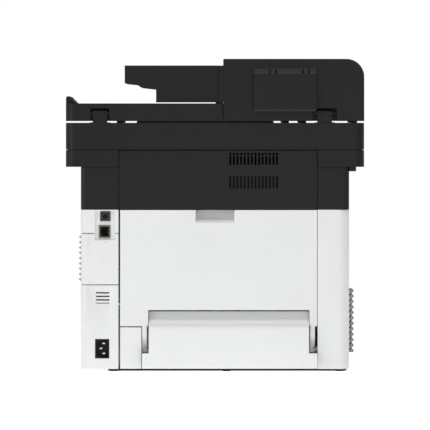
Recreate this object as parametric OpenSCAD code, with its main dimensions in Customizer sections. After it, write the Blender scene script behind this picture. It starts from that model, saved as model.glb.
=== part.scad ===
// Desktop laser photocopier with a document feeder.
// +X is the side with the sockets, +Y the rear, +Z up; the origin is under the middle of the feet.

/* [Body] */
// Width of the printer body
body_w = 375; // [365:1:450]
// Front face of the body, ahead of the middle
front_d = 190; // [180:1:230]
// Rear face of the body, behind the middle
rear_d = 196; // [190:1:240]
// Width of the rear column that holds the sockets
right_column_w = 52.6; // [48:0.1:62]
// Width of the plain rear column
left_column_w = 44.1; // [38:0.1:54]
// Rounding of the socket column
right_corner_r = 8; // [3:0.5:12]
// Rounding of the plain column
left_corner_r = 16; // [3:0.5:20]
// Wall of every plastic cover
wall = 2.5; // [1.5:0.1:3]
// Open seam between two covers
seam = 1; // [0.6:0.1:1.4]

/* [Heights] */
// Thickness of the feet below the base plate
foot_h = 1; // [0.6:0.1:4]
// Thickness of the base plate
plate_t = 2.4; // [2:0.1:4]
// Height of the cassette front
cassette_h = 83; // [78:1:86]
// Height of the white covers
white_h = 222.5; // [215:0.5:270]
// Height of the black band above them
black_h = 59.7; // [55:0.1:75]
// Height of the scanner's lower half
scan_low_h = 24; // [20:0.5:32]
// Height of the scanner's upper half
scan_up_h = 37.6; // [34:0.1:48]
// Daylight between scanner and feeder
feeder_gap = 2.6; // [2:0.1:3.4]
// Height of the feeder's base
feeder_base_h = 24.7; // [22:0.1:30]
// Height of the whole feeder
feeder_h = 86.9; // [84:0.1:105]

/* [Scanner and feeder] */
// Overhang of the scanner on each side of the body
scan_over = 21; // [12:0.5:30]
// Rear face of scanner and feeder behind the body's
scan_back = 2; // [1:0.5:4]
// Inner side of the feeder's tall housing, right of the middle
feed_edge = -11.8; // [-30:0.1:0]
// Outer rounding of the feeder's tall housing
feed_r = 25; // [10:1:32]
// Rounding of the scanner's rear corners
scan_r = 14; // [8:1:18]
// Length of the document tray
doc_len = 136.7; // [110:0.1:160]
// Radius of the hinge pins of feeder and rear cover
pin_r = 3; // [2:0.1:3.5]
// Radial clearance of every turning fit
fit = 0.05; // [0.02:0.01:0.1]

/* [Hidden] */
$fn = 48;

WHITE = [0.90, 0.91, 0.905];
BLACK = [0.17, 0.17, 0.17];
GREY = [0.53, 0.53, 0.52];
STEEL = [0.72, 0.73, 0.75];
RUBBER = [0.08, 0.08, 0.08];

// faces of the body and heights of its seams
bx = body_w / 2;
front = -front_d;
rear = rear_d;
seat = foot_h + plate_t;
white_top = seat + white_h;
black_low = white_top + 0.4;
black_top = white_top + black_h;
scan_seam = black_top + scan_low_h;
scan_top = scan_seam + scan_up_h;
feed_low = scan_top + feeder_gap;
base_top = feed_low + feeder_base_h;
feed_top = feed_low + feeder_h;
right_seam = bx - right_column_w;
left_seam = -bx + left_column_w;
door_right = right_seam - 2.3;
door_left = left_seam + 0.6;

// side frames of sheet steel between the covers
sheet = 2;
frame_r = right_seam - 4.9;
frame_l = left_seam + 6.4;
frame_front = front + 16;
frame_rear = rear - 28;
frame_top = white_top - 1.6;

// scanner outline
sx = bx + scan_over;
scan_front = front + 22;
scan_rear = rear + scan_back;

// rear cover: pivot, arms and cut-out
pivot = [rear - 16, seat + 27.6];
arm_w = 6.7;
arm_r0 = door_right - 37.4;
arm_l0 = door_left + 3.2;
open_x = [arm_l0 + arm_w + 1, arm_r0 - 2];
door_low = seat + 59.7;
cut_top = seat + 82.2;
swing = 60;
pull_w = 54;
pull_z = white_top - 18.3;

// lower rear cover, which hinges near its bottom edge
low_pivot = [rear - 6, seat + 4.6];
low_pin_r = 2;
low_out = rear + 10;
low_step = seat + 22;

// hinge of the feeder
lift = [scan_rear - 6, feed_low + 11.3];
post_x = [sx - 47.7, -sx + 55.3];
post_w = 20.5;
recess_w = 26.5;

// feeder top cover and document tray hinges
top_pivot = [-sx + 7.5, base_top + 6];
tray_pivot = [feed_edge + 5.8, feed_top - 16];
tray_pin_r = 2.5;
tray_rear = scan_rear - 6;
tray_front = scan_front + 8;
tray_mid = (tray_rear + tray_front) / 2;
tray_drop = 22;

// front cover and its tray
front_pivot = [front + 9, seat + 93.6];
hinge_r = 9;
hinge_sweep = hinge_r + 0.6;
mp_pivot = [front + 3.5, seat + 121];
mp_w = 220;
mp_h = 74;

// control panel slope, 45 degrees
slope = [front - 16 + 4 * sin(45), scan_top - 31.6];

// cassette
cas_x = [frame_l + 3, frame_r - 3];
cas_mid = (frame_l + frame_r) / 2;
cas_z = seat + 0.3;
cas_rear = rear - 31;

// rollers of the engine: [y, z]
pick_at = [front + 60, seat + 72.6];
drum_at = [rear - 124, seat + 131.6];
transfer_at = drum_at + [23.5, 0];
heat_at = [rear - 68, seat + 184.6];
eject_at = [rear - 80, white_top + 32];
engine_z = seat + 88.6;
laser_z = seat + 168.6;

function arc(c, r, a, b, n = 10) =
    [for (i = [0:n]) c + r * [cos(a + (b - a) * i / n), sin(a + (b - a) * i / n)]];
function corner(c, r, a) = r > 0 ? arc(c, r, a, a + 90, 8) : [c];
// the two ends v, measured from a
function span(a, v) = [for (d = v) a + d];
function round_rect(x, y, r) = concat(
    corner([x[0] + r[0], y[0] + r[0]], r[0], 180), corner([x[1] - r[1], y[0] + r[1]], r[1], 270),
    corner([x[1] - r[2], y[1] - r[2]], r[2], 0), corner([x[0] + r[3], y[1] - r[3]], r[3], 90));

module block(x, y, z) {
    translate([x[0], y[0], z[0]]) cube([x[1] - x[0], y[1] - y[0], z[1] - z[0]]);
}

// a block with rounded upright edges, r from the lower left going round
module column(x, y, z, r) {
    translate([0, 0, z[0]]) linear_extrude(z[1] - z[0]) polygon(round_rect(x, y, r));
}

// a YZ outline drawn out along X, and an XZ outline drawn out along Y
module along_x(x) {
    translate([x[0], 0, 0]) rotate([90, 0, 90]) linear_extrude(x[1] - x[0]) children();
}

module along_y(y) {
    translate([0, y[1], 0]) rotate([90, 0, 0]) linear_extrude(y[1] - y[0]) children();
}

// round bars along X at [y, z], and along Y at [x, z]
module bar_x(x, at, r) {
    translate([x[0], at[0], at[1]]) rotate([0, 90, 0]) cylinder(r = r, h = x[1] - x[0]);
}

module bar_y(y, at, r) {
    translate([at[0], y[1], at[1]]) rotate([90, 0, 0]) cylinder(r = r, h = y[1] - y[0]);
}

// ---- base and frames ----

foot_at = [[right_seam + 6, rear - 20], [-bx + 13.5, rear - 20], [right_seam + 6, front + 30],
    [-bx + 13.5, front + 30], [-16, rear - 16]];

module base_frame() color(BLACK) difference() {
    union() {
        block([-bx + 4.4, right_seam + 14.5], [front + 14, rear - 4], [foot_h, seat]);
        for (x = [arm_r0 + arm_w + 1.6, arm_l0 - 9]) {
            block([x, x + 5], [pivot[0] - 7, pivot[0] + 8], [seat, pivot[1] + 7]);
            block([x, x + 5], [pivot[0] - 7, rear - wall - 0.3], [foot_h, low_pivot[1] + 4]);
        }
    }
    block([arm_l0 - 3.9, arm_r0 + arm_w + 0.6], [low_pivot[0] - 2, rear], [0, seat + 1]);
    for (p = foot_at) translate([p[0], p[1], 0]) cylinder(r = 5.5, h = foot_h + 1);
    bar_x([-bx, bx], pivot, pin_r + fit);
    bar_x([-bx, bx], low_pivot, low_pin_r + fit);
}

module rubber_feet() color(RUBBER)
    for (p = foot_at) translate([p[0], p[1], 0]) cylinder(r = 5.5, h = foot_h + 1);

// one side frame with its shaft bores, a stub pin for the front cover and board standoffs
module side_frame(x, out) {
    stub = out > 0 ? [x[1], x[1] + 11] : [x[0] - 11, x[0]];
    difference() {
        union() {
            difference() {
                block(x, [frame_front, frame_rear], [seat, frame_top]);
                bar_x(x + [-1, 1], front_pivot, hinge_sweep);
            }
            bar_x(x, front_pivot, 5.5);
            block(x, [front_pivot[0] + 1, frame_front + 4], span(front_pivot[1], [3.2, 8]));
        }
        bar_x(x + [-1, 1], pick_at, pin_r + fit);
        bar_x(x + [-1, 1], drum_at, 4 + fit);
        bar_x(x + [-1, 1], transfer_at, pin_r + fit);
    }
    bar_x(stub, front_pivot, pin_r);
}

module frame_right() color(STEEL) {
    side_frame([frame_r, frame_r + sheet], 1);
    for (y = [rear - 138, rear - 20], z = [white_top - 80, white_top - 9])
        if (y < frame_rear) bar_x([frame_r + sheet, right_seam + 9.8], [y, z], 3);
}

module frame_left() color(STEEL) side_frame([frame_l - sheet, frame_l], -1);

// two steel shelves between the side frames, each with a slot for paper or light
module frame_shelves() color(STEEL) {
    difference() {
        block([frame_l, frame_r], [front + 75, rear - 60], [engine_z, engine_z + sheet]);
        block([cas_mid - 108, cas_mid + 108], [transfer_at[0] - 14, transfer_at[0] - 6],
            span(engine_z, [-1, 3]));
    }
    difference() {
        block([frame_l, frame_r], [front + 60, rear - 96], [laser_z, laser_z + sheet]);
        block([cas_mid - 110, cas_mid + 110], span(drum_at[0], [-4, 4]), span(laser_z, [-1, 3]));
    }
}

module pickup_roller() color(RUBBER) {
    bar_x([frame_l - sheet, frame_r + sheet], pick_at, pin_r);
    for (x = [cas_mid - 32, cas_mid + 6]) bar_x([x, x + 26], pick_at, 12);
}

// ---- white covers ----

// L-shaped cover on the +X side, between two heights
module right_shell(z) {
    difference() {
        column([right_seam, bx], [front + 12, rear], z, [0, 0, right_corner_r, 0]);
        column([right_seam - 1, bx - wall], [front + 11, rear - wall], z + [-1, 1],
            [0, 0, right_corner_r - wall, 0]);
    }
}

split_1 = seat + 117.6;
split_2 = white_top - 33;
port_x = span(right_seam, [5.4, 32.7]);
port_z = [white_top - 42.2, white_top - 1.4];
inlet_x = span(right_seam, [12.9, 32.7]);
inlet_z = [seat + 14.8, seat + 41.9];
grille_r_y = [front + 230, front + 345];
grille_r_z = [split_1 + 2.6, split_2 - 1.5];
fin_pitch = 7.48;
fins_r = round((grille_r_z[1] - grille_r_z[0] - 0.6) / fin_pitch);
switch_at = [front + 52, seat + 58];

module right_cover_lower() color(WHITE) difference() {
    union() {
        right_shell([seat, split_1 - seam / 2]);
        for (y = span(switch_at[0], [-14, 11]))
            block([bx - 12, bx - wall + 0.1], [y, y + 3], span(switch_at[1], [-6, 6]));
    }
    block(inlet_x, span(rear, [-4, 1]), inlet_z);
    for (i = [0:3]) block(span(right_seam, [12.6, 31.3]), span(rear, [-4, 1]), span(seat + 90.6 + 4.95 * i, [0, 2]));
    block(span(bx, [-4, 1]), span(switch_at[0], [-10.5, 10.5]), span(switch_at[1], [-10.6, 10.6]));
    bar_y(span(switch_at[0], [-20, 20]), [bx - 8, switch_at[1]], 1.5 + fit);
    bar_x([bx - 4, bx + 1], front_pivot, hinge_sweep);
}

module right_cover_middle() color(WHITE) difference() {
    right_shell([split_1 + seam / 2, split_2 - seam / 2]);
    block(port_x, span(rear, [-4, 1]), port_z);
    block(span(bx, [-4, 1]), grille_r_y, grille_r_z);
    bar_y(span(rear, [-4, 1]), [right_seam + 18.3, port_z[0] - 3], 0.9);
}

module right_cover_upper() color(WHITE) difference() {
    right_shell([split_2 + seam / 2, white_top]);
    block(port_x, span(rear, [-4, 1]), port_z);
}

// louvred grille: pointed fins outside a frame that seats in its cover
module grille_fins(depth, y, z, pitch, count, thick) {
    for (i = [0:count - 1]) let (low = z[0] + (z[1] - z[0] - pitch * count) / 2 + pitch * i)
        along_y(y) polygon([[-0.1, low + 0.3], [depth - 2.2, low + pitch / 2 - thick / 2],
            [depth, low + pitch / 2], [depth - 2.2, low + pitch / 2 + thick / 2],
            [-0.1, low + pitch - 0.3]]);
}

module right_grille() color(GREY) {
    difference() {
        union() {
            block([bx - wall - 1.8, bx - wall - 0.2], grille_r_y + [-4, 4], grille_r_z + [-1.4, 0.4]);
            block([bx - wall - 0.3, bx], grille_r_y + [0.3, -0.3], grille_r_z + [0.3, -0.3]);
        }
        for (i = [0:fins_r - 2])
            block(span(bx, [-6, 1]), grille_r_y + [6, -6],
                span(grille_r_z[0] + 6.2 + 7.5 * i, [0, 3.2]));
    }
    difference() {
        translate([bx, 0, 0])
            grille_fins(3.8, grille_r_y + [0.3, -0.3], grille_r_z + [0.3, -0.3], fin_pitch, fins_r, 1.6);
        for (i = [0:fins_r - 2])
            block(span(bx, [-6, 9]), grille_r_y + [6, -6],
                span(grille_r_z[0] + 6.2 + 7.5 * i, [0, 3.2]));
    }
}

grille_l_y = [front + 222, front + 345];
grille_l_z = span(seat, [20.2, 112.5]);

module left_cover() color(WHITE) difference() {
    column([-bx, left_seam], [front + 12, rear], [seat, white_top], [0, 0, 0, left_corner_r]);
    column([-bx + wall, left_seam + 1], [front + 11, rear - wall], [seat - 1, white_top + 1],
        [0, 0, 0, left_corner_r - wall]);
    block(span(-bx, [-1, 4]), grille_l_y, grille_l_z);
    bar_x([-bx - 1, -bx + 4], front_pivot, hinge_sweep);
}

module left_grille() color(GREY) {
    inner = [-bx + wall + 0.2, -bx + wall + 1.8];
    difference() {
        union() {
            block(inner, grille_l_y + [-4, 4], grille_l_z + [-4, 4]);
            block([-bx, inner[0] + 0.1], grille_l_y + [0.3, -0.3], grille_l_z + [0.3, -0.3]);
        }
        block(span(-bx, [-1, 6]), grille_l_y + [5, -5], grille_l_z + [5, -5]);
    }
    for (i = [0:11]) let (z = grille_l_z[0] + 2.2 + 7.66 * i + 1.8)
        along_y(grille_l_y + [0.3, -0.3]) polygon([[inner[1], z - 1.8], [inner[1], z + 1.8],
            [-bx - 5.6, z + 1.8], [-bx - 7.5, z], [-bx - 5.6, z - 1.8]]);
    for (i = [0:3]) let (y = grille_l_y[0] + 0.3 + (grille_l_y[1] - grille_l_y[0] - 2.6) * i / 3)
        block(span(-bx, [-4.6, -2.6]), [y, y + 2], grille_l_z + [3, -5]);
}

module corner_cover() color(WHITE) difference() {
    block([arm_r0 + arm_w + 1, door_right], [rear - 6, rear], [seat + 0.4, door_low - 1.2]);
    block([arm_r0 + arm_w + 1, door_right] + [wall, -wall], [rear - 7, rear - wall],
        [seat - 1, door_low - 1.2 - wall]);
    translate([0, rear, door_low - 1.2]) rotate([45, 0, 0]) cube([body_w, 1.8, 1.8], center = true);
    block([arm_r0 + arm_w, arm_r0 + arm_w + 8], [rear - 7, rear - wall], [seat, low_pivot[1] + 5]);
}

// ---- rear covers ----

// side view of a rear cover arm, cleared so that it can swing past the lower cover
module arm_outline() {
    difference() {
        union() {
            polygon([[rear - 10, door_low + 6], [rear, door_low + 6], [rear, pivot[1] + 8],
                pivot + [0, -1], pivot + [-4, 3]]);
            translate(pivot) circle(r = 5);
        }
        translate(pivot) rotate(swing) translate([5.2, -80]) square([60, 80 - 4.6]);
    }
}

module rear_cover() color(WHITE) difference() {
    union() {
        block([door_left, door_right], [rear - wall, rear], [cut_top, white_top - 0.4]);
        for (x = [[door_left, open_x[0]], [open_x[1], door_right]])
            block(x, [rear - wall, rear], [door_low, cut_top + 1]);
        for (x = [[door_left, door_left + wall], [door_right - wall, door_right]])
            block(x, [rear - 9, rear], [cut_top + 2, white_top - 0.4]);
        for (x = [arm_l0, arm_r0]) along_x([x, x + arm_w]) arm_outline();
        bar_x([arm_r0, arm_r0 + arm_w + 6], pivot, pin_r);
        bar_x([arm_l0 - 8.4, arm_l0 + 1], pivot, pin_r);
        along_x([-pull_w / 2 - wall, pull_w / 2 + wall]) polygon([[rear - 1, pull_z - wall],
            [rear - 6, pull_z], [rear - 12, pull_z + 8], [rear - 14.5, white_top - 0.4],
            [rear - 1, white_top - 0.4]]);
        for (i = [-3:3]) block(span(i * 32 - 5, [-1, 1]), [rear - 11, rear - 1], [cut_top + 6, pull_z - 14]);
    }
    along_x([-pull_w / 2, pull_w / 2]) polygon([[rear + 1, pull_z - 0.5], [rear, pull_z],
        [rear - 5, pull_z + 3.5], [rear - 9.5, pull_z + 9], [rear - 12, white_top + 1],
        [rear + 1, white_top + 1]]);
}

// one wall with a rounded lip and a finger recess above it
module low_outline() {
    polygon(concat([[low_out, seat + 0.6], [low_out, seat + 54]],
        arc([low_out - 6, seat + 54], 6, 0, 70, 6),
        [[rear - 2, seat + 64], [rear - 7, seat + 72], [rear - 9, cut_top - 1.8],
            [rear - 11.5, cut_top - 1.8], [rear - 9.5, seat + 71], [rear - 4.5, seat + 61.5],
            [low_out - 4.5, seat + 57], [low_out - wall, seat + 53], [low_out - wall, seat + 3.1],
            [rear + 1, seat + 3.1], [rear + 1, seat + 0.6]]));
}

module lower_rear_cover() color(WHITE) {
    low_x = [arm_l0 - 3.3, arm_r0 + arm_w];
    difference() {
        union() {
            along_x(low_x) low_outline();
            for (x = [low_x[0], low_x[1] - 4]) hull() {
                bar_x([x, x + 4], low_pivot, 4);
                block([x, x + 4], [rear + 1, rear + 4], span(seat, [0.6, 9]));
            }
            for (x = [open_x[0] + 1, -5, open_x[1] - 3])
                block([x, x + 2], [rear - 2, low_out - 1], [seat + 3, seat + 56]);
            bar_x([low_x[0] - 5.5, low_x[0] + 1], low_pivot, low_pin_r);
            bar_x([low_x[1] - 1, low_x[1] + 5.5], low_pivot, low_pin_r);
        }
        for (x = [[low_x[0] - 9, open_x[0] + 0.6], [open_x[1] - 0.6, low_x[1] + 9]])
            block(x, [rear - 40, low_out + 1], [low_step, cut_top + 5]);
    }
}

// ---- sockets and electronics ----

module interface_plate() color(WHITE) difference() {
    block(port_x + [-3, 3], span(rear - wall, [-2.2, -0.2]), port_z + [-3, 1]);
    block(usb_x + [-0.3, 0.3], span(rear, [-9, 1]), usb_z + [-0.3, 0.3]);
    block(lan_x + [-0.3, 0.3], span(rear, [-9, 1]), lan_z + [-0.3, 0.3]);
}

usb_x = span(right_seam, [11.4, 25.4]);
usb_z = [white_top - 15.8, white_top - 2.4];
lan_x = span(right_seam, [11.4, 27.4]);
lan_z = [white_top - 39.4, white_top - 21.8];

module usb_port() color(RUBBER) {
    difference() {
        block(usb_x, [rear - 19, rear - 1.5], usb_z);
        along_y([rear - 16, rear]) translate([usb_x[0] + 2.8, usb_z[0] + 2.7])
            polygon([[0, 0], [8.4, 0], [8.4, 5.6], [6.4, 8], [2, 8], [0, 5.6]]);
    }
    block(span(usb_x[0], [4.2, 9.8]), [rear - 16.5, rear - 3], span(usb_z[0], [5, 8.2]));
}

module lan_port() color(RUBBER) difference() {
    block(lan_x, [rear - 22, rear - 1.5], lan_z);
    block(span(lan_x[0], [2, 11]), [rear - 18, rear], span(lan_z[0], [2.9, 14.7]));
    block(span(lan_x[0], [10, 13.6]), [rear - 18, rear], span(lan_z[0], [5.8, 11.8]));
}

module main_board() color([0.08, 0.35, 0.2]) {
    face = usb_x[0];
    block([face - 1.6, face], [rear - 146, rear - 8], [white_top - 86, white_top - 2]);
    for (p = [[60, 40], [100, 40], [60, 70]])
        block([face - 0.1, face + 3], span(rear - p[0], [-22, 0]), span(white_top - p[1], [-18, 0]));
}

module power_inlet() color(BLACK) {
    difference() {
        union() {
            column(inlet_x + [0.3, -0.3], [rear - 31, rear + 0.3], inlet_z + [0.3, -0.3], [0, 0, 0, 0]);
            block(inlet_x + [-4, 4], span(rear - wall, [-2.2, -0.2]), inlet_z + [-4, 4]);
        }
        along_y([rear - 18, rear + 1]) translate([inlet_x[0], inlet_z[0]])
            polygon([[1.6, 1.6], [14, 1.6], [18.2, 6], [18.2, 21.1], [14, 25.5], [1.6, 25.5]]);
        for (p = pin_at) block(span(p[0], [-2, 2]), [rear - 29, rear], span(p[1], [-1, 1]));
    }
}

pin_at = [for (p = [[7.6, 20.9], [11.7, 13.9], [7.6, 6.9]]) [inlet_x[0] + p[0], inlet_z[0] + p[1]]];

module inlet_pins() color(STEEL)
    for (p = pin_at) block(span(p[0], [-2, 2]), [rear - 29, rear - 2.5], span(p[1], [-1, 1]));

module power_supply() color(STEEL) difference() {
    block([frame_r + sheet, bx - wall - 5], [rear - 176, rear - 46], span(seat, [5, 72]));
    block([frame_r + sheet + 1, bx - wall - 6], [rear - 175, rear - 47], span(seat, [6, 71]));
    for (i = [0:9]) block([frame_r, bx], span(rear - 168 + 12 * i, [0, 5]), span(seat, [30, 60]));
}

// tipped 8 degrees, so that it rocks to the other side
module power_rocker() color(RUBBER) translate([bx - 8, 0, switch_at[1]]) rotate([0, -8, 0]) {
    along_y(span(switch_at[0], [-10, 10]))
        polygon(concat([[-2, -3], [8.4, -9.4]], arc([24, 0], 16, 215, 145, 6), [[8.4, 9.4], [-2, 3]]));
    bar_y(span(switch_at[0], [-14, 14]), [0, 0], 1.5);
}

// ---- black upper body ----

wing = 27;

module upper_shell(side, inner, r) {
    x_wide = side > 0 ? [inner, bx] : [-bx, inner];
    x_side = side > 0 ? [bx - wing, bx] : [-bx, -bx + wing];
    rr = side > 0 ? [0, 0, r, 0] : [0, 0, 0, r];
    ri = side > 0 ? [0, 0, r - wall, 0] : [0, 0, 0, r - wall];
    difference() {
        union() {
            column(x_wide, [rear - 55, rear], [black_low, black_top], rr);
            block(x_side, [front + 12, rear - 50], [black_low, black_top]);
        }
        column(x_wide + [wall, -wall], [rear - 55 + wall, rear - wall], [black_low - 1, black_top + 1], ri);
        block(x_side + [wall, -wall], [front + 12 + wall, rear - 48], [black_low - 1, black_top + 1]);
    }
}

module upper_housing_right() color(BLACK) upper_shell(1, right_seam, right_corner_r);

module upper_housing_left() color(BLACK) upper_shell(-1, left_seam, right_corner_r);

// two rows of vents; a baffle behind the lower row keeps dust and light out of the page bay
vent_x = [-96, -12];
vent_z = [black_top - 30, black_top + 2.9];

module rear_upper_panel() color(BLACK) difference() {
    union() {
        block([left_seam + 0.5, right_seam - 0.5], [rear - wall, rear], [black_low, scan_seam - 0.6]);
        for (x = [left_seam + 8, right_seam - 10])
            block([x, x + 2], [rear - 88, rear - 1], [black_low, black_top - 1]);
        difference() {
            block(vent_x, [rear - 18, rear - 1], span(vent_z[0], [-4, 21]));
            block(vent_x + [-1, 1], [rear - 16.5, rear], span(vent_z[0], [-2.5, 22]));
        }
    }
    for (i = [0:13], z = vent_z)
        block(span(vent_x[0] + 8.1 + 5.02 * i, [0, 2.5]), span(rear, [-4, 1]), [z, z + 17.1]);
    bar_x([-bx, bx], eject_at, pin_r + fit);
}

// a floor between the covers, a hump that carries the printed pages, and the wall that they leave by
module output_tray() color(BLACK) difference() {
    union() {
        block([-bx + wall + 0.3, bx - wall - 0.3], [front + 11.3, rear - 60],
            [frame_top, black_low - 0.1]);
        along_x([-bx + wing + 0.5, bx - wing - 0.5]) polygon([[front + 11.3, frame_top],
            [front + 14, frame_top + 7], [front + 60, frame_top + 19], [front + 150, frame_top + 21],
            [rear - 100, frame_top + 4], [rear - 88.4, frame_top + 3], [rear - 88.4, frame_top]]);
        block([-bx + wing + 0.5, bx - wing - 0.5], [rear - 91, rear - 88.4], [frame_top, black_top - 0.2]);
    }
    along_x([-bx + wing + 3, bx - wing - 3]) polygon([[front + 14, frame_top - 1],
        [front + 16.5, frame_top + 4.5], [front + 61, frame_top + 16.4],
        [front + 150, frame_top + 18.4], [rear - 101, frame_top + 1], [rear - 101, frame_top - 1]]);
    block([-112, 112], [rear - 92, rear - 88], span(eject_at[1], [-3, 9]));
}

module eject_rollers() color(RUBBER) {
    bar_x([left_seam + 8, right_seam - 8], eject_at, pin_r);
    for (x = [-75, -30, 12, 56]) bar_x([x, x + 16], eject_at, 7);
}

// ---- scanner ----

module scan_shell(z, floor_z, r = scan_r) {
    difference() {
        column([-sx, sx], [scan_front, scan_rear], z, [4, 4, r, r]);
        column([-sx, sx] + [wall, -wall], [scan_front + wall, scan_rear - wall], floor_z,
            [2, 2, r - wall, r - wall]);
    }
}

module scanner_lower() color(BLACK) difference() {
    union() {
        scan_shell([black_top + 0.2, scan_seam - 0.4], [black_top + 0.2 + wall, scan_seam + 1]);
        for (x = [-sx + wall - 0.1, sx - wall - 8])
            block([x, x + 8.1], [rail_y - 8, rail_y + 8], [black_top + 2, rail_z + 6]);
        block([-bx - 9.7, -bx - 0.4], [rear - 90, rear - 4], [black_top - 6, black_top + 1]);
    }
    block([left_seam, right_seam], [rear - wall - 0.3, scan_rear + 1], [black_top - 1, scan_seam + 1]);
    bar_x([-sx + 1, sx - 1], [rail_y, rail_z], 4);
}

rail_y = tray_mid;
rail_z = scan_seam - 9;
glass_x = [-sx + 62, sx - 16];
slit_x = [-sx + 26, -sx + 48];
glass_y = span(rail_y, [-113, 113]);

module scanner_upper() color(BLACK) difference() {
    union() {
        scan_shell([scan_seam + 0.4, scan_top], [scan_seam - 1, scan_top - wall]);
        for (x = post_x) block(span(x, [-11, 11]), [scan_rear - 16, scan_rear - 1], [scan_seam + 2, scan_top - 1]);
        block([left_seam, right_seam], [rear - 8, rear - 0.4], span(scan_seam, [0.4, 4]));
    }
    for (x = post_x) block(span(x, [-8.2, 8.2]), [scan_rear - 12.2, scan_rear - 3.8], [scan_seam - 1, scan_top + 1]);
    for (x = [glass_x, slit_x]) {
        block(x + [3, -3], glass_y + [3, -3], span(scan_top, [-5, 1]));
        block(x, glass_y, span(scan_top, [-2, 1]));
    }
}

module scanner_glass() color([0.6, 0.75, 0.75])
    for (x = [glass_x, slit_x]) block(x + [0.2, -0.2], glass_y + [0.2, -0.2], span(scan_top, [-2, -0.2]));

module carriage_rail() color(STEEL) bar_x([-sx + 1, sx - 1] + [2, -2], [rail_y, rail_z], 4);

module scan_carriage() color(RUBBER) {
    x = slit_x + [1, -1];
    difference() {
        union() {
            block(x, glass_y + [4, -4], span(scan_top, [-24, -7]));
            block(x + [2, -2], span(rail_y, [-10, 10]), [rail_z - 8, scan_top - 23]);
        }
        block(x + [9, -9], glass_y + [8, -8], span(scan_top, [-10, -6]));
        bar_x(x + [-1, 1], [rail_y, rail_z], 4 + fit);
    }
}

// ---- control panel ----

// places children on the slope: x across, y up the slope, z out of it
module on_slope() {
    translate([0, slope[0], slope[1]]) rotate([45, 0, 0]) children();
}

screen_x = [-84, 112];
key_x = [152, 180];
key_y = 18;
key_r = 8;

module panel_outline(inset = 0) {
    polygon([[scan_front - 0.4 - inset, black_top + 0.2 + inset], [slope[0] + 5, black_top + 0.2 + inset],
        [slope[0] + inset, black_top + 5 + inset / 2], slope + [inset, -inset / 2],
        slope + [30 + inset / 2, 30 - inset], [scan_front - 0.4 - inset, slope[1] + 30 - inset]]);
}

module control_panel() color(BLACK) difference() {
    union() {
        along_x([-sx, sx]) panel_outline();
        on_slope() block(screen_x, [2, 44], [-2, 6]);
    }
    along_x([-sx + wall, sx - wall]) panel_outline(wall);
    on_slope() block(screen_x + [6, -6], [5, 40], [4.2, 7]);
    for (x = key_x) on_slope() translate([x, key_y, -9]) cylinder(r = key_r + 0.3, h = 12);
}

module touch_screen() color([0.05, 0.06, 0.08])
    on_slope() block(screen_x + [6.2, -6.2], [5.2, 39.8], [4.2, 5.8]);

module key(x) on_slope() translate([x, key_y, 0]) {
    translate([0, 0, -wall - 0.7]) cylinder(r = key_r, h = wall + 2.2);
    translate([0, 0, -wall - 1.9]) cylinder(r = key_r + 1.6, h = 1.5);
}

module start_key() color([0.1, 0.55, 0.25]) key(key_x[0]);

module stop_key() color([0.75, 0.25, 0.1]) key(key_x[1]);

// ---- feeder ----

module hinge_posts() color(BLACK) for (x = post_x) difference() {
    union() {
        block(span(x, [-7.9, 7.9]), [scan_rear - 11.9, scan_rear - 4.1], [scan_seam + 4, scan_top + 1]);
        block(span(x, [-14, 14]), [scan_rear - 14, scan_rear - 0.4], span(scan_top, [0.2, 0.9]));
        block(span(x, [-post_w / 2, post_w / 2]), [lift[0] - 5, lift[0] + 5], [scan_top + 0.5, lift[1]]);
        bar_x(span(x, [-post_w / 2, post_w / 2]), lift, 5);
    }
    bar_x(span(x, [-20, 20]), lift, pin_r + fit);
}

pad_t = 3.2;
bumper_x = [sx - 75.9, -sx + 85.9, -sx + 109.9, -sx + 14.5];

module feeder_base() color(BLACK) {
    difference() {
        union() {
            difference() {
                column([-sx, sx], [scan_front + 3, scan_rear], [feed_low, base_top], [4, 4, scan_r, scan_r]);
                column([-sx, sx] + [wall, -wall], [scan_front + 3 + wall, scan_rear - wall],
                    [feed_low - 1, base_top - wall], [2, 2, scan_r - wall, scan_r - wall]);
            }
            for (x = post_x) block(span(x, [-recess_w / 2 - 3.5, recess_w / 2 + 3.5]),
                [scan_rear - 16, scan_rear - 0.1], [feed_low + 0.1, base_top - 1]);
            for (y = [-130, -70, -10, 50, 110])
                block([-sx + 1, sx - 1], [y, y + 2], [feed_low + pad_t, base_top - 1]);
            along_y([tray_front + 40, tray_rear - 10]) polygon([[sx - 0.1, base_top - 1],
                [sx - 0.1, base_top + 8], [sx - 2, base_top + 10.3], [sx - 5, base_top + 9.5],
                [sx - 14, base_top + 0.4], [sx - 14, base_top - 1]]);
            for (y = [tray_rear - 11, tray_front + 6]) hull() {
                bar_y([y, y + 5], tray_pivot, 5.2);
                block(span(tray_pivot[0], [-5.2, 5.2]), [y, y + 5], span(base_top, [-1, 4]));
            }
        }
        for (x = post_x) block(span(x, [-recess_w / 2, recess_w / 2]), [scan_rear - 13, scan_rear + 1],
            [feed_low - 1, lift[1] + 6.6]);
        for (y = [[scan_front, scan_front + 15.3], [scan_rear - 12.3, scan_rear + 1]])
            block([-sx - 1, feed_edge + 1.2], y, [feed_low - 1, base_top + 1]);
        block([-sx - 1, -sx + 20], [scan_front, scan_rear], span(base_top, [-3.6, 1]));
        bar_y([tray_front, tray_rear], tray_pivot, tray_pin_r + fit);
    }
    for (x = post_x) bar_x(span(x, [-recess_w / 2 - 1, recess_w / 2 + 1]), lift, pin_r);
    for (x = bumper_x, y = [scan_rear - 34, scan_front + 30])
        translate([x, y, feed_low - feeder_gap + 0.2]) cylinder(r = 5, h = feeder_gap + 2);
}

module platen_pad() color([0.93, 0.93, 0.92])
    block(glass_x + [-4, 2], span(rail_y, [-118, 118]), span(feed_low, [0.1, pad_t - 0.1]));

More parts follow.
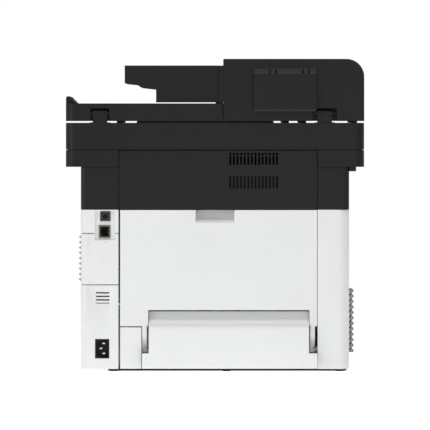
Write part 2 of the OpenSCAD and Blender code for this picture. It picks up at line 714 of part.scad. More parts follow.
// side view of the tall housing
module feeder_outline(inset, low) {
    polygon(concat([[feed_edge - inset, low], [feed_edge - inset, feed_top - inset]],
        arc([-sx + feed_r, feed_top - feed_r], feed_r - inset, 90, 180, 12), [[-sx + inset, low]]));
}

module feeder_side(y, skin) {
    difference() {
        along_y(y) feeder_outline(0, feed_low);
        along_y(skin) feeder_outline(wall, feed_low - 1);
    }
}

raised_x = [feed_edge - 129.8, feed_edge - 42.6];
raised_z = span(feed_top, [-73.2, -13.7]);

module feeder_rear_cover() color(BLACK) difference() {
    union() {
        feeder_side([scan_rear - 12, scan_rear], [scan_rear - 13, scan_rear - wall]);
        bar_y([scan_rear - 11, scan_rear - 1], top_pivot, 6);
        block([feed_edge - 1, feed_edge + 6], [tray_rear + 0.4, scan_rear - 1], [tray_low, tray_top - 0.1]);
        difference() {
            along_x(raised_x) polygon([[scan_rear - 1, raised_z[0]], [low_out - 2, raised_z[0]],
                [low_out, raised_z[0] + 3], [low_out, raised_z[1] - 6.6], [low_out - 2, raised_z[1] - 4.6],
                [scan_rear, raised_z[1]], [scan_rear - 1, raised_z[1]]]);
            for (i = [8.9, 17, 55.3, 63]) block(span(raised_x[0] + i, [0, 3]), [scan_rear + 0.1, low_out + 1],
                span(raised_z[1], [-7, 1]));
        }
    }
    bar_y([scan_rear - 12, scan_rear - 4], top_pivot, tray_pin_r + fit);
    for (x = post_x) block(span(x, [-recess_w / 2 - 3.7, recess_w / 2 + 3.7]), [scan_rear - 13, scan_rear + 1],
        [feed_low - 1, lift[1] + 6.6]);
}

module feeder_front_cover() color(BLACK) difference() {
    union() {
        feeder_side([scan_front + 3, scan_front + 15], [scan_front + 3 + wall, scan_front + 16]);
        bar_y([scan_front + 4, scan_front + 14], top_pivot, 6);
    }
    bar_y([scan_front + 7, scan_front + 16], top_pivot, tray_pin_r + fit);
}

top_y = [scan_front + 15.4, scan_rear - 12.4];

module feeder_top_cover() color(BLACK) {
    along_y(top_y) polygon(concat([[feed_edge, feed_top - 11], [feed_edge, feed_top]],
        arc([-sx + feed_r, feed_top - feed_r], feed_r, 90, 180, 12), arc(top_pivot, 7.5, 180, 270, 6),
        arc(top_pivot, 5, 270, 180, 6), arc([-sx + feed_r, feed_top - feed_r], feed_r - wall, 180, 90, 12),
        [[feed_edge - wall, feed_top - wall], [feed_edge - wall, feed_top - 11]]));
    for (y = [top_y[0], top_y[1] - 4]) bar_y([y, y + 4], top_pivot, 6);
    bar_y([top_y[0] - 6, top_y[0] + 1], top_pivot, tray_pin_r);
    bar_y([top_y[1] - 1, top_y[1] + 6], top_pivot, tray_pin_r);
}

// ---- document tray ----

tray_x = [feed_edge + 1.3, feed_edge + 1.3 + doc_len];
tray_low = feed_top - 60.8;
tray_top = feed_top - 9.2;
floor_slope = tray_drop / doc_len;

module tray_outline(low) {
    polygon(concat([[tray_x[0], low], [tray_x[1] - 43.8, low], [tray_x[1] - 43.8, tray_top - 33.2],
        [tray_x[1] - 22.9, tray_top - 30.9], [tray_x[1] - 18, tray_top - 27],
        [tray_x[1], tray_top - 25.1], [tray_x[1], tray_top]],
        arc([tray_x[0] + 6, tray_top - 6], 6, 90, 180, 6)));
}

// height of the tray's floor at x
function floor_at(x) = tray_top - 33 + floor_slope * (x - tray_x[0]);

module document_tray() color(BLACK) difference() {
    union() {
        along_y([tray_rear - 3, tray_rear]) tray_outline(tray_low);
        along_y([tray_front, tray_front + 3]) tray_outline(tray_top - 33.2);
        along_y([tray_front + 1, tray_rear - 1]) polygon([[tray_x[0] + 14, floor_at(tray_x[0] + 14)],
            [tray_x[1], floor_at(tray_x[1])], [tray_x[1], floor_at(tray_x[1]) - 12],
            [tray_x[1] - 3, floor_at(tray_x[1]) - 12], [tray_x[1] - 3, floor_at(tray_x[1]) - 3],
            [tray_x[0] + 14, floor_at(tray_x[0] + 14) - 3]]);
        bar_y([tray_rear - 11, tray_rear - 1], tray_pivot, tray_pin_r);
        bar_y([tray_front + 1, tray_front + 11], tray_pivot, tray_pin_r);
    }
    for (y = [tray_mid + 46, tray_mid - 114])
        block(guide_x + [19, -19], [y, y + 68], [tray_low, tray_top]);
}

guide_x = [tray_x[0] + 30, tray_x[0] + 74];

// a fence that slides on the floor, with a tongue through its slot
module guide(y, side) {
    lean = atan(floor_slope);
    translate([guide_x[0], 0, floor_at(guide_x[0]) + 0.35]) rotate([0, -lean, 0]) {
        block([0, 42], [y, y + 3], [0, 16]);
        block([0, 42], side > 0 ? [y - 12, y + 1] : [y + 2, y + 15], [0, 2]);
        block([19.6, 23], side > 0 ? [y - 9, y] : [y + 3, y + 12], [-6, 1]);
    }
}

module rear_guide() color(GREY) guide(tray_mid + 108, 1);

module front_guide() color(GREY) guide(tray_mid - 111, -1);

roller_at = [feed_edge - 60, base_top + 22];

module feed_roller() color(RUBBER) {
    bar_y([scan_front + 3.1 + wall, scan_rear - wall - 0.1], roller_at, pin_r);
    for (y = span(tray_mid, [-34, 6])) bar_y([y, y + 28], roller_at, 12);
}

// ---- front ----

module front_cover() color(WHITE) difference() {
    union() {
        difference() {
            along_x([-bx, bx]) polygon(concat([[front, white_top - 0.6],
                [front + 11, white_top - 0.6], [front + 11, front_pivot[1]]],
                arc(front_pivot, hinge_r, 280, 180, 6)));
            along_x([-bx + wall, bx - wall]) polygon(concat([
                [front + wall, white_top - 0.6 - wall], [front + 12, white_top - 0.6 - wall],
                [front + 12, front_pivot[1] - 8]], arc(front_pivot, 6.5, 290, 180, 6)));
        }
        for (x = [-bx, bx - wall]) bar_x([x, x + wall], front_pivot, hinge_r + 0.15);
        for (x = [frame_r + sheet + 1, frame_l - sheet - 9]) hull() {
            bar_x([x, x + 8], front_pivot, 5.5);
            block([x, x + 8], [front + 1, front + 9], span(front_pivot[1], [14, 20]));
        }
        for (x = [-mp_w / 2 - 4.6, mp_w / 2 + 1.6])
            block([x, x + 3], [front + 1, front + 10], span(mp_pivot[1], [-8, mp_h + 2]));
        block([-mp_w / 2 - 4.6, mp_w / 2 + 4.6], span(front, [9.4, 11]), span(mp_pivot[1], [-8, mp_h + 2]));
    }
    block([-mp_w / 2 - 1.6, mp_w / 2 + 1.6], span(front, [-1, 9.4]), span(mp_pivot[1], [-4.4, mp_h + 0.6]));
    block([-mp_w / 2 + 4, mp_w / 2 - 4], span(front, [8, 12]), span(mp_pivot[1], [10, 40]));
    bar_x([-bx + 1, bx - 1], front_pivot, pin_r + fit);
    bar_x([-mp_w / 2 - 8, mp_w / 2 + 8], mp_pivot, 2 + fit);
}

module mp_tray() color(WHITE) difference() {
    union() {
        along_x([-mp_w / 2, mp_w / 2]) polygon(concat([[front, mp_pivot[1] + mp_h],
            [front + 3.4, mp_pivot[1] + mp_h], [front + 3.4, mp_pivot[1] + 2]],
            arc(mp_pivot, 3.5, 290, 180, 6)));
        for (x = [-mp_w / 2, mp_w / 2 - 8]) bar_x([x, x + 8], mp_pivot, 3.3);
        bar_x([-mp_w / 2 - 4, -mp_w / 2 + 1], mp_pivot, 2);
        bar_x([mp_w / 2 - 1, mp_w / 2 + 4], mp_pivot, 2);
        for (x = [-84.6, 82.4]) block([x, x + 2.2], span(front, [3, 7.8]), span(mp_pivot[1], [14, mp_h - 4]));
    }
    block([-22, 22], [front - 1, front + 2], span(mp_pivot[1], [mp_h - 8, mp_h + 1]));
}

module mp_extension() color(GREY) difference() {
    block([-82, 82], span(front, [3.8, 6]), span(mp_pivot[1], [16, mp_h - 9]));
    block([-60, 60], span(front, [3, 7]), span(mp_pivot[1], [26, mp_h - 20]));
}

// ---- cassette ----

module cassette() color(WHITE) difference() {
    union() {
        difference() {
            block(cas_x, [front + 11, cas_rear], span(cas_z, [0, 58]));
            block(cas_x + [wall, -wall], [front + 12, cas_rear - wall], span(cas_z, [wall, 60]));
        }
        difference() {
            block([-bx + 0.3, bx - 0.3], [front, front + 11.6], span(cas_z, [0.5, cassette_h]));
            block([-bx + 0.3, bx - 0.3] + [wall, -wall], [front + wall, front + 11],
                span(cas_z, [0.5 + wall, cassette_h - wall]));
            block([-55, 55], [front - 1, front + 11], span(cas_z, [30, 50]));
        }
        difference() {
            block([-55 - wall, 55 + wall], span(front, [1, 11]), span(cas_z, [30 - wall, 50 + wall]));
            block([-55, 55], span(front, [-1, 8.5]), span(cas_z, [30, 50]));
        }
        for (x = [cas_mid - 100, cas_mid + 91])
            block([x, x + 9], [front + 124, front + 136], span(cas_z, [2, 14]));
    }
    bar_x([cas_mid - 102, cas_mid + 102], lift_at, 2 + fit);
}

lift_at = [front + 130, cas_z + 10];

module lift_plate() color(STEEL) {
    block([cas_mid - 90, cas_mid + 90], [front + 22, lift_at[0]], span(lift_at[1], [-1, 1]));
    bar_x([cas_mid - 99, cas_mid + 99], lift_at, 2);
}

// ---- engine ----

module toner_container() color(BLACK) along_x([frame_l + 5, frame_r - 5]) polygon(concat(
    [[front + 80, engine_z + sheet], [drum_at[0] - 50, engine_z + sheet]],
    arc([drum_at[0] - 60, laser_z - 14], 10, 0, 90, 6), arc([front + 95, laser_z - 19], 15, 90, 180, 6)));

module roller_x(at, r, shaft_r) {
    bar_x([frame_l + 4, frame_r - 4], at, r);
    bar_x([frame_l - sheet, frame_r + sheet], at, shaft_r);
}

module drum() color([0.2, 0.35, 0.6]) roller_x(drum_at, 15, 4);

module transfer_roller() color(RUBBER) roller_x(transfer_at, 7.5, pin_r);

module laser_unit() color(GREY) difference() {
    block([frame_l + 18, frame_r - 18], [front + 84, rear - 130], span(laser_z + sheet, [0, 30]));
    for (x = [frame_l + 18, frame_r - 30])
        block([x - 1, x + 13], [front + 83, front + 96], span(laser_z + sheet, [6, 31]));
}

module fuser() color(BLACK) difference() {
    block([frame_l, frame_r], span(heat_at[0], [-16, 38]), span(heat_at[1], [-18, 20]));
    block([frame_l + 4, frame_r - 4], span(heat_at[0], [-13, 35]), span(heat_at[1], [-15, 17]));
    block([frame_l + 14, frame_r - 14], span(heat_at[0], [7, 15]), span(heat_at[1], [-19, 21]));
    bar_x([frame_l - 1, frame_r + 1], heat_at, 4 + fit);
}

module heat_roller() color([0.7, 0.45, 0.3]) {
    bar_x([frame_l + 6, frame_r - 6], heat_at, 11);
    bar_x([frame_l, frame_r], heat_at, 4);
}

fan_at = [front + 283, seat + 66];
fan_x = [-bx + wall + 1.8, -bx + wall + 21.8];

module cooling_fan() color(BLACK) {
    difference() {
        block(fan_x, span(fan_at[0], [-42, 42]), span(fan_at[1], [-42, 42]));
        bar_x(fan_x + [-1, 1], fan_at, 39);
    }
    difference() {
        union() {
            bar_x([fan_x[1] - 3, fan_x[1]], fan_at, 16);
            for (a = [0, 90]) translate([0, fan_at[0], fan_at[1]]) rotate([a, 0, 0])
                block([fan_x[1] - 3, fan_x[1]], [-40, 40], [-2, 2]);
        }
        bar_x([fan_x[1] - 5, fan_x[1] + 1], fan_at, 2 + fit);
    }
}

module fan_rotor() color(RUBBER) {
    bar_x([fan_x[0] + 3, fan_x[1] - 4], fan_at, 15);
    bar_x([fan_x[0] + 4, fan_x[1] - 0.5], fan_at, 2);
    for (i = [0:6]) translate([0, fan_at[0], fan_at[1]]) rotate([i * 360 / 7, 0, 0])
        translate([fan_x[0] + 9.5, 0, 0]) rotate([0, 0, 32]) block([-1, 1], [-6, 6], [14, 37]);
}

base_frame();
rubber_feet();
frame_right();
frame_left();
frame_shelves();
pickup_roller();
right_cover_lower();
right_cover_middle();
right_cover_upper();
right_grille();
left_cover();
left_grille();
corner_cover();
rear_cover();
lower_rear_cover();
interface_plate();
usb_port();
lan_port();
main_board();
power_inlet();
inlet_pins();
power_supply();
power_rocker();
upper_housing_right();
upper_housing_left();
rear_upper_panel();
output_tray();
eject_rollers();
scanner_lower();
scanner_upper();
scanner_glass();
carriage_rail();
scan_carriage();
control_panel();
touch_screen();
start_key();
stop_key();
hinge_posts();
feeder_base();
platen_pad();
feeder_rear_cover();
feeder_front_cover();
feeder_top_cover();
document_tray();
rear_guide();
front_guide();
feed_roller();
front_cover();
mp_tray();
mp_extension();
cassette();
lift_plate();
toner_container();
drum();
transfer_roller();
laser_unit();
fuser();
heat_roller();
cooling_fan();
fan_rotor();
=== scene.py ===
import math

import bmesh
import bpy
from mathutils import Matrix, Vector


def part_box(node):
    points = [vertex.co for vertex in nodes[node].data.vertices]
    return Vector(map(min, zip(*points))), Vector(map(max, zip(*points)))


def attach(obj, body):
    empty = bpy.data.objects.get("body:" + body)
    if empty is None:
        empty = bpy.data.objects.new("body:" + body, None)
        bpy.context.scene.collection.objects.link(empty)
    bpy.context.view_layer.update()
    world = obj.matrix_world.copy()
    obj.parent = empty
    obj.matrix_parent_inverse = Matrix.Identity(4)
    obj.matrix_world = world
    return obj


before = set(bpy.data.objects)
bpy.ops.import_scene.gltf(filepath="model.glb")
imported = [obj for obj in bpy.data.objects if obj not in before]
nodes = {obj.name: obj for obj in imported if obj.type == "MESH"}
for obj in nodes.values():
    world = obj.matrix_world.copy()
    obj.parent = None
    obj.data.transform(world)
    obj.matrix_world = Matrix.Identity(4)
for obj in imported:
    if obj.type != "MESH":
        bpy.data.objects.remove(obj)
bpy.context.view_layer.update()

scene = bpy.context.scene


# ---------------------------------------------------------------- materials

def new_material(name):
    m = bpy.data.materials.new(name)
    m.use_nodes = True
    tree = m.node_tree
    return m, tree, tree.nodes["Principled BSDF"]


def link(tree, a, b):
    tree.links.new(a, b)


def coordinates(tree, scale=(1, 1, 1)):
    """the piece's own coordinates, in metres"""
    c = tree.nodes.new("ShaderNodeTexCoord")
    m = tree.nodes.new("ShaderNodeMapping")
    m.inputs["Scale"].default_value = scale
    link(tree, c.outputs["Object"], m.inputs["Vector"])
    return m.outputs["Vector"]


def noise(tree, vector, scale, detail=3.0, rough=0.5):
    n = tree.nodes.new("ShaderNodeTexNoise")
    n.inputs["Scale"].default_value = scale
    n.inputs["Detail"].default_value = detail
    n.inputs["Roughness"].default_value = rough
    link(tree, vector, n.inputs["Vector"])
    return n.outputs["Fac"]


def ramp(tree, value, low, high, a, b):
    """value from low to high turns into a to b"""
    r = tree.nodes.new("ShaderNodeMapRange")
    r.inputs["From Min"].default_value = low
    r.inputs["From Max"].default_value = high
    r.inputs["To Min"].default_value = a
    r.inputs["To Max"].default_value = b
    link(tree, value, r.inputs["Value"])
    return r.outputs["Result"]


def mixed(tree, factor, a, b):
    """two colours mixed by factor"""
    m = tree.nodes.new("ShaderNodeMix")
    m.data_type = "RGBA"
    m.inputs["A"].default_value = (*a, 1)
    if isinstance(b, tuple):
        m.inputs["B"].default_value = (*b, 1)
    else:
        link(tree, b, m.inputs["B"])
    link(tree, factor, m.inputs["Factor"])
    return m.outputs["Result"]


def bumps(tree, shader, heights):
    """heights: (output, strength, distance in metres), the coarse ones first"""
    normal = None
    for out, strength, distance in heights:
        b = tree.nodes.new("ShaderNodeBump")
        b.inputs["Strength"].default_value = strength
        b.inputs["Distance"].default_value = distance
        link(tree, out, b.inputs["Height"])
        if normal is not None:
            link(tree, normal, b.inputs["Normal"])
        normal = b.outputs["Normal"]
    link(tree, normal, shader.inputs["Normal"])


def shade(colour, k):
    return tuple(max(0.0, min(1.0, c * k)) for c in colour)


def moulded(name, colour, rough, level=0.5, grain=0.5, grain_scale=1700, spread=0.02):
    """moulded plastic: fine grain, and slow variation in tone and gloss"""
    m, tree, p = new_material(name)
    at = coordinates(tree)
    slow = noise(tree, at, 7, 3, 0.55)
    flow = noise(tree, coordinates(tree, (1, 1, 0.25)), 34, 4, 0.6)
    tone = mixed(tree, ramp(tree, slow, 0.3, 0.7, 0, 1), shade(colour, 1 - spread), shade(colour, 1 + spread))
    m2 = tree.nodes.new("ShaderNodeMix")
    m2.data_type = "RGBA"
    m2.blend_type = "MULTIPLY"
    m2.inputs["Factor"].default_value = 1.0
    link(tree, tone, m2.inputs["A"])
    grains = noise(tree, at, grain_scale, 2, 0.6)
    fleck = mixed(tree, ramp(tree, grains, 0.35, 0.65, 0, 1), (0.965,) * 3, (1.0,) * 3)
    link(tree, fleck, m2.inputs["B"])
    link(tree, m2.outputs["Result"], p.inputs["Base Color"])
    link(tree, ramp(tree, flow, 0.3, 0.7, rough - 0.045, rough + 0.045), p.inputs["Roughness"])
    p.inputs["Specular IOR Level"].default_value = level
    bumps(tree, p, [(flow, 0.06, 0.0004), (grains, grain, 0.00006)])
    return m


def metal(name, colour, rough, along=(1, 1, 1), brush=0.25, spangle=0.0):
    """sheet steel or a plated part: rolled or ground lines along one direction, and zinc spangle"""
    m, tree, p = new_material(name)
    p.inputs["Metallic"].default_value = 1.0
    lines = noise(tree, coordinates(tree, along), 900, 3, 0.6)
    patches = noise(tree, coordinates(tree), 60 if spangle else 22, 2, 0.5)
    link(tree, mixed(tree, ramp(tree, patches, 0.35, 0.65, 0, 1), shade(colour, 0.9), shade(colour, 1.06)),
         p.inputs["Base Color"])
    link(tree, ramp(tree, lines, 0.3, 0.7, rough - 0.07, rough + 0.09), p.inputs["Roughness"])
    bumps(tree, p, [(patches, spangle * 0.3 + 0.02, 0.0002), (lines, brush, 0.00003)])
    return m


def rubbery(name, colour, rough, ribs=None):
    """ground rubber: dull, with a fine nap and, on rollers, rings across it"""
    m, tree, p = new_material(name)
    at = coordinates(tree)
    nap = noise(tree, at, 2600, 3, 0.7)
    dust = noise(tree, at, 55, 4, 0.65)
    link(tree, mixed(tree, ramp(tree, dust, 0.45, 0.75, 0, 0.5), colour, shade((0.3, 0.29, 0.28), 0.7)),
         p.inputs["Base Color"])
    link(tree, ramp(tree, dust, 0.3, 0.7, rough - 0.05, rough + 0.08), p.inputs["Roughness"])
    p.inputs["Specular IOR Level"].default_value = 0.3
    heights = [(nap, 0.5, 0.00008)]
    if ribs:
        heights.insert(0, (noise(tree, coordinates(tree, ribs), 700, 1, 0.3), 0.35, 0.0002))
    bumps(tree, p, heights)
    return m


def glazed(name, colour, rough=0.04):
    """platen glass: clear with a green cast, and faint wiping marks in its gloss"""
    m, tree, p = new_material(name)
    p.inputs["Transmission Weight"].default_value = 0.9
    p.inputs["IOR"].default_value = 1.5
    smears = noise(tree, coordinates(tree, (1, 3, 1)), 14, 5, 0.6)
    link(tree, mixed(tree, smears, shade(colour, 0.97), colour), p.inputs["Base Color"])
    link(tree, ramp(tree, smears, 0.4, 0.8, rough, rough + 0.07), p.inputs["Roughness"])
    bumps(tree, p, [(smears, 0.03, 0.0002)])
    return m


def glossy(name, colour, rough, coat=0.0, second=None, level=0.5):
    """a smooth coated part: shallow orange peel, slight tone variation, optional lacquer"""
    m, tree, p = new_material(name)
    at = coordinates(tree)
    peel = noise(tree, at, 420, 2, 0.5)
    slow = noise(tree, at, 18, 4, 0.6)
    link(tree, mixed(tree, ramp(tree, slow, 0.35, 0.65, 0, 1), colour, second or shade(colour, 1.12)),
         p.inputs["Base Color"])
    link(tree, ramp(tree, slow, 0.3, 0.7, rough, rough + 0.08), p.inputs["Roughness"])
    p.inputs["Specular IOR Level"].default_value = level
    if coat:
        p.inputs["Coat Weight"].default_value = coat
        p.inputs["Coat Roughness"].default_value = 0.08
    bumps(tree, p, [(slow, 0.03, 0.0003), (peel, 0.06, 0.00005)])
    return m


def circuit_board(name):
    """green solder mask with copper tracks and pads under it"""
    m, tree, p = new_material(name)
    at = coordinates(tree)
    brick = tree.nodes.new("ShaderNodeTexBrick")
    brick.inputs["Scale"].default_value = 150
    brick.inputs["Mortar Size"].default_value = 0.035
    brick.inputs["Color1"].default_value = (0.018, 0.13, 0.055, 1)
    brick.inputs["Color2"].default_value = (0.02, 0.16, 0.07, 1)
    brick.inputs["Mortar"].default_value = (0.035, 0.26, 0.12, 1)
    swap = tree.nodes.new("ShaderNodeMapping")
    swap.inputs["Rotation"].default_value = (math.pi / 2, 0, 0)
    link(tree, at, swap.inputs["Vector"])
    link(tree, swap.outputs["Vector"], brick.inputs["Vector"])
    cells = tree.nodes.new("ShaderNodeTexVoronoi")
    cells.inputs["Scale"].default_value = 260
    link(tree, at, cells.inputs["Vector"])
    pads = ramp(tree, cells.outputs["Distance"], 0.2, 0.16, 0, 1)
    link(tree, mixed(tree, pads, (0.02, 0.15, 0.065), brick.outputs["Color"]), p.inputs["Base Color"])
    link(tree, ramp(tree, noise(tree, at, 40), 0.3, 0.7, 0.22, 0.36), p.inputs["Roughness"])
    bumps(tree, p, [(brick.outputs["Fac"], 0.25, 0.0001)])
    return m


def srgb(*v):
    """linear colour of an sRGB one"""
    return tuple(round((x / 255 / 12.92) if x <= 10 else ((x / 255 + 0.055) / 1.055) ** 2.4, 5) for x in v)


MATERIAL = {
    "white": moulded("white_moulded", srgb(231, 233, 232), 0.46, 0.4, 0.35),
    "black": moulded("black_moulded", srgb(18, 18, 18), 0.4, 0.32, 0.5, 1500, 0.03),
    "black_inner": moulded("black_inner", srgb(22, 22, 23), 0.55, 0.25, 0.4, 1300, 0.04),
    "grey": moulded("grey_moulded", srgb(150, 152, 149), 0.5, 0.4, 0.4),
    "steel": metal("zinc_sheet", (0.62, 0.63, 0.64), 0.36, (0.05, 1, 1), 0.2, 0.5),
    "rod": metal("ground_steel", (0.66, 0.66, 0.67), 0.22, (0.05, 1, 1), 0.12),
    "pins": metal("plated_pins", (0.78, 0.77, 0.74), 0.24, (1, 0.05, 1), 0.1),
    "gold": metal("gold_plate", (0.83, 0.62, 0.28), 0.25, (1, 0.05, 1), 0.1),
    "shell": metal("dull_nickel", (0.2, 0.2, 0.19), 0.4, (1, 0.05, 1), 0.15),
    "brass": metal("tin_brass", (0.3, 0.27, 0.23), 0.38, (1, 0.05, 1), 0.15),
    "rubber": rubbery("soft_rubber", srgb(34, 34, 34), 0.75),
    "roller": rubbery("ground_roller", srgb(44, 44, 45), 0.7, (1, 0.02, 0.02)),
    "glass": glazed("platen_glass", (0.86, 0.94, 0.92)),
    "pad": moulded("pad_sheet", srgb(234, 234, 230), 0.6, 0.3, 0.5, 900, 0.02),
    "board": circuit_board("board_green"),
    "drum": glossy("drum_coating", (0.05, 0.16, 0.32), 0.1, 0.6, (0.05, 0.2, 0.33)),
    "heat": glossy("fuser_coating", (0.1, 0.05, 0.03), 0.2, 0.3),
    "key_green": glossy("key_green", (0.04, 0.33, 0.12), 0.3, 0.2),
    "key_orange": glossy("key_orange", (0.55, 0.13, 0.03), 0.3, 0.2),
    "screen": glossy("screen_glass", (0.012, 0.013, 0.015), 0.06, 0.5, (0.014, 0.016, 0.02)),
}

FINISH = {
    "white": "right_cover_lower right_cover_middle right_cover_upper left_cover corner_cover rear_cover "
             "lower_rear_cover interface_plate front_cover mp_tray cassette",
    "black": "upper_housing_right upper_housing_left rear_upper_panel output_tray "
             "scanner_lower scanner_upper "
             "control_panel feeder_base feeder_rear_cover feeder_front_cover feeder_top_cover document_tray "
             "hinge_posts base_frame power_inlet",
    "black_inner": "scan_carriage toner_container cooling_fan fan_rotor fuser usb_port lan_port",
    "grey": "right_grille left_grille rear_guide front_guide mp_extension laser_unit",
    "steel": "frame_right frame_left frame_shelves lift_plate power_supply",
    "rod": "carriage_rail",
    "pins": "inlet_pins",
    "rubber": "rubber_feet power_rocker",
    "roller": "pickup_roller eject_rollers transfer_roller feed_roller",
    "glass": "scanner_glass",
    "pad": "platen_pad",
    "board": "main_board",
    "drum": "drum",
    "heat": "heat_roller",
    "key_green": "start_key",
    "key_orange": "stop_key",
    "screen": "touch_screen",
}
finish_of = {n: f for f, names in FINISH.items() for n in names.split()}


# ---------------------------------------------------------------- edges of the moulded pieces

def smooth_group(limit):
    """faces shade smooth except over edges sharper than the limit"""
    g = bpy.data.node_groups.new("smooth_by_angle", "GeometryNodeTree")
    g.interface.new_socket("Geometry", in_out="INPUT", socket_type="NodeSocketGeometry")
    g.interface.new_socket("Geometry", in_out="OUTPUT", socket_type="NodeSocketGeometry")
    start, end = g.nodes.new("NodeGroupInput"), g.nodes.new("NodeGroupOutput")
    faces = g.nodes.new("GeometryNodeSetShadeSmooth")
    faces.domain = "FACE"
    edges = g.nodes.new("GeometryNodeSetShadeSmooth")
    edges.domain = "EDGE"
    edges.inputs["Shade Smooth"].default_value = False
    angle = g.nodes.new("GeometryNodeInputMeshEdgeAngle")
    over = g.nodes.new("FunctionNodeCompare")
    over.data_type = "FLOAT"
    over.operation = "GREATER_THAN"
    over.inputs["B"].default_value = math.radians(limit)
    g.links.new(start.outputs["Geometry"], faces.inputs["Geometry"])
    g.links.new(faces.outputs["Geometry"], edges.inputs["Geometry"])
    g.links.new(angle.outputs["Unsigned Angle"], over.inputs["A"])
    g.links.new(over.outputs["Result"], edges.inputs["Selection"])
    g.links.new(edges.outputs["Geometry"], end.inputs["Geometry"])
    return g


def long_edge_group(limit, shortest):
    """gives a bevel weight to the sharp edges that are longer than shortest, in metres"""
    g = bpy.data.node_groups.new("long_edges", "GeometryNodeTree")
    g.interface.new_socket("Geometry", in_out="INPUT", socket_type="NodeSocketGeometry")
    g.interface.new_socket("Geometry", in_out="OUTPUT", socket_type="NodeSocketGeometry")
    start, end = g.nodes.new("NodeGroupInput"), g.nodes.new("NodeGroupOutput")
    store = g.nodes.new("GeometryNodeStoreNamedAttribute")
    store.data_type = "FLOAT"
    store.domain = "EDGE"
    store.inputs["Name"].default_value = "bevel_weight_edge"
    store.inputs["Value"].default_value = 1.0
    angle = g.nodes.new("GeometryNodeInputMeshEdgeAngle")
    ends = g.nodes.new("GeometryNodeInputMeshEdgeVertices")
    apart = g.nodes.new("ShaderNodeVectorMath")
    apart.operation = "DISTANCE"
    both = g.nodes.new("FunctionNodeBooleanMath")
    both.operation = "AND"
    for i, (out, least) in enumerate(((angle.outputs["Unsigned Angle"], math.radians(limit)),
                                      (apart.outputs["Value"], shortest))):
        over = g.nodes.new("FunctionNodeCompare")
        over.data_type = "FLOAT"
        over.operation = "GREATER_THAN"
        over.inputs["B"].default_value = least
        g.links.new(out, over.inputs["A"])
        g.links.new(over.outputs["Result"], both.inputs[i])
    g.links.new(ends.outputs["Position 1"], apart.inputs[0])
    g.links.new(ends.outputs["Position 2"], apart.inputs[1])
    g.links.new(both.outputs["Boolean"], store.inputs["Selection"])
    g.links.new(start.outputs["Geometry"], store.inputs["Geometry"])
    g.links.new(store.outputs["Geometry"], end.inputs["Geometry"])
    return g


SMOOTH = smooth_group(28)
LONG = long_edge_group(32, 0.004)
LONG_ONLY = "right_cover_middle right_cover_lower interface_plate rear_cover".split()


def finish_edges(o, width):
    """welds the exchange mesh, smooths its curves and rounds its sharp edges"""
    w = o.modifiers.new("weld", "WELD")
    w.merge_threshold = 2e-6
    s = o.modifiers.new("smooth", "NODES")
    s.node_group = SMOOTH
    if o.name in LONG_ONLY:
        o.modifiers.new("long", "NODES").node_group = LONG
    b = o.modifiers.new("edges", "BEVEL")
    b.width = width
    b.segments = 2
    b.limit_method = "WEIGHT" if o.name in LONG_ONLY else "ANGLE"
    b.angle_limit = math.radians(32)
    b.harden_normals = True


EDGE = {  # metres
    "feeder_rear_cover": 0.0012, "feeder_front_cover": 0.0012, "feeder_top_cover": 0.001,
    "document_tray": 0.0008,
    "scanner_upper": 0.001, "scanner_lower": 0.0008, "feeder_base": 0.0008, "rear_cover": 0.0006,
    "lower_rear_cover": 0.0006, "cassette": 0.0006, "front_cover": 0.0006, "control_panel": 0.001,
}
for name, o in nodes.items():
    o.data.materials.clear()
    o.data.materials.append(MATERIAL[finish_of[name]])
    finish_edges(o, EDGE.get(name, 0.0004))


# ---------------------------------------------------------------- the sockets' metal shells and contacts

def piece(name, bm, material, body="printer_body"):
    """a mesh piece that rides on a CAD body"""
    bmesh.ops.recalc_face_normals(bm, faces=bm.faces)
    mesh = bpy.data.meshes.new(name)
    bm.to_mesh(mesh)
    bm.free()
    mesh.materials.append(MATERIAL[material])
    o = bpy.data.objects.new(name, mesh)
    scene.collection.objects.link(o)
    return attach(o, body)


def tube(bm, outline, thick, y):
    """a thin shell along Y whose outer surface is outline, a list of (x, z) going round once"""
    mid_x = sum(p[0] for p in outline) / len(outline)
    mid_z = sum(p[1] for p in outline) / len(outline)
    inner = [(x - math.copysign(thick, x - mid_x), z - math.copysign(thick, z - mid_z)) for x, z in outline]
    rings = [[bm.verts.new((px, py, pz)) for px, pz in points]
             for points, py in ((outline, y[0]), (outline, y[1]), (inner, y[1]), (inner, y[0]))]
    count = len(outline)
    for a, b in zip(rings, rings[1:] + rings[:1]):
        for i in range(count):
            j = (i + 1) % count
            bm.faces.new((a[i], a[j], b[j], b[i]))


def strip(bm, low, high):
    """a bar between two corners with its rear end turned towards the middle"""
    turned, lift_end = 0.004, 0.0012
    rows = [(low[1], 0.0), (high[1] - turned, 0.0), (high[1], lift_end)]
    corners = ((low[0], low[2]), (high[0], low[2]), (high[0], high[2]), (low[0], high[2]))
    loops = [[bm.verts.new((x + lift, y, z)) for x, z in corners] for y, lift in rows]
    for a, b in zip(loops, loops[1:]):
        for i in range(4):
            bm.faces.new((a[i], a[(i + 1) % 4], b[(i + 1) % 4], b[i]))
    bm.faces.new(loops[0])
    bm.faces.new(loops[-1])


def rim(bm, low, high, thick):
    """a flat square rim around a socket's face"""
    x, z = (low.x + INSET, high.x - INSET), (low.z + INSET, high.z - INSET)
    tube(bm, [(x[0], z[0]), (x[1], z[0]), (x[1], z[1]), (x[0], z[1])], thick, RIM_Y)


usb_low, usb_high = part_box("usb_port")
lan_low, lan_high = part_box("lan_port")
face_y = usb_high.y
INSET = 0.0002
RIM_Y = (face_y - 0.0001, face_y + 0.0004)

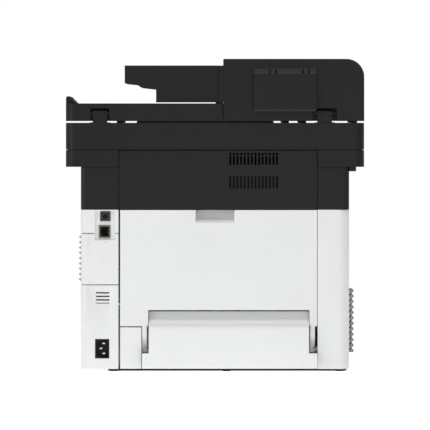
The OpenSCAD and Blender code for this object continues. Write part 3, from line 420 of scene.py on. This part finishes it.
# the data socket: a shell that lines its six-sided hole, and a rim
SHELL_THICK = 0.0005
SHELL_Y = (face_y - 0.0135, face_y - 0.0003)
hole_x, hole_z = usb_low.x + 0.0028, usb_low.z + 0.0027
SHELL_OUTLINE = ((0.0001, 0.0001), (0.0083, 0.0001), (0.0083, 0.0055),
                 (0.0063, 0.0079), (0.0021, 0.0079), (0.0001, 0.0055))
bm = bmesh.new()
tube(bm, [(hole_x + a, hole_z + b) for a, b in SHELL_OUTLINE], SHELL_THICK, SHELL_Y)
rim(bm, usb_low, usb_high, 0.0009)
piece("usb_shell", bm, "shell")

# the network socket: a rim, and a row of contacts up one side of its hole
CONTACTS = 8
CONTACT_PITCH = 0.00102
CONTACT_HALF = 0.00018
CONTACT_Y = (face_y - 0.014, face_y - 0.003)
contact_x = (lan_low.x + 0.0021, lan_low.x + 0.0024)
row_mid = lan_low.z + 0.0029 + 0.0059
bm = bmesh.new()
rim(bm, lan_low, lan_high, 0.0013)
piece("lan_shell", bm, "brass")
bm = bmesh.new()
for i in range(CONTACTS):
    z = row_mid + (i - (CONTACTS - 1) / 2) * CONTACT_PITCH
    strip(bm, (contact_x[0], CONTACT_Y[0], z - CONTACT_HALF), (contact_x[1], CONTACT_Y[1], z + CONTACT_HALF))
piece("lan_contacts", bm, "gold")


# ---------------------------------------------------------------- camera, floor and light

def aim(o, target):
    o.rotation_euler = (Vector(target) - o.location).to_track_quat("-Z", "Y").to_euler()


REAR = 0.198
VIEW_MID = 0.2186
FRAME_W = 0.6007
CAMERA_Y = 15.0
CAMERA_Z = 0.356
SENSOR = 36
cam_data = bpy.data.cameras.new("camera")
camera = bpy.data.objects.new("camera", cam_data)
scene.collection.objects.link(camera)
camera.location = (0, CAMERA_Y, CAMERA_Z)
cam_data.sensor_width = SENSOR
cam_data.lens = (CAMERA_Y - REAR) * SENSOR / FRAME_W
cam_data.clip_end = 60
aim(camera, (0, REAR, VIEW_MID))
scene.camera = camera

floor_mesh = bpy.data.meshes.new("floor")
half = 3.2
floor_mesh.from_pydata([(-half, -half, 0), (half, -half, 0), (half, half, 0), (-half, half, 0)],
                       [], [(0, 1, 2, 3)])
floor = bpy.data.objects.new("floor", floor_mesh)
scene.collection.objects.link(floor)
fm, ft, fp = new_material("studio_floor")
fp.inputs["Base Color"].default_value = (0.86, 0.86, 0.86, 1)
fp.inputs["Roughness"].default_value = 0.9
fp.inputs["Specular IOR Level"].default_value = 0.1
fp.inputs["Emission Color"].default_value = (1, 1, 1, 1)
fp.inputs["Emission Strength"].default_value = 0.7
floor_mesh.materials.append(fm)


def softbox(name, at, target, size, power):
    d = bpy.data.lights.new(name, "AREA")
    d.shape = "RECTANGLE"
    d.size, d.size_y = size
    d.energy = power
    o = bpy.data.objects.new(name, d)
    scene.collection.objects.link(o)
    o.location = at
    aim(o, target)
    return o


softbox("key", (2.4, 2.6, 2.3), (0, 0, 0.25), (1.6, 1.6), 9)
softbox("overhead", (0, 1.1, 3.3), (0, 0.1, 0.25), (2.0, 1.0), 50)
softbox("rear_fill", (-0.6, 3.4, 1.2), (0, 0, 0.25), (2.4, 2.0), 7)
softbox("strip", (3.35, 2.18, 0.6), (0.19, 0.19, 0.3), (0.22, 2.2), 19)
softbox("front_key", (1.8, -2.6, 2.2), (0, 0, 0.25), (1.8, 1.6), 22)

world = bpy.data.worlds.new("studio")
scene.world = world
world.use_nodes = True
wt = world.node_tree
back = wt.nodes["Background"]
back.inputs["Color"].default_value = (1, 1, 1, 1)
back.inputs["Strength"].default_value = 0.24
seen = wt.nodes.new("ShaderNodeBackground")
seen.inputs["Color"].default_value = (1, 1, 1, 1)
seen.inputs["Strength"].default_value = 1.0
path = wt.nodes.new("ShaderNodeLightPath")
pick = wt.nodes.new("ShaderNodeMixShader")
wt.links.new(path.outputs["Is Camera Ray"], pick.inputs["Fac"])
wt.links.new(back.outputs["Background"], pick.inputs[1])
wt.links.new(seen.outputs["Background"], pick.inputs[2])
wt.links.new(pick.outputs["Shader"], wt.nodes["World Output"].inputs["Surface"])

scene.view_settings.view_transform = "Standard"
scene.view_settings.look = "None"
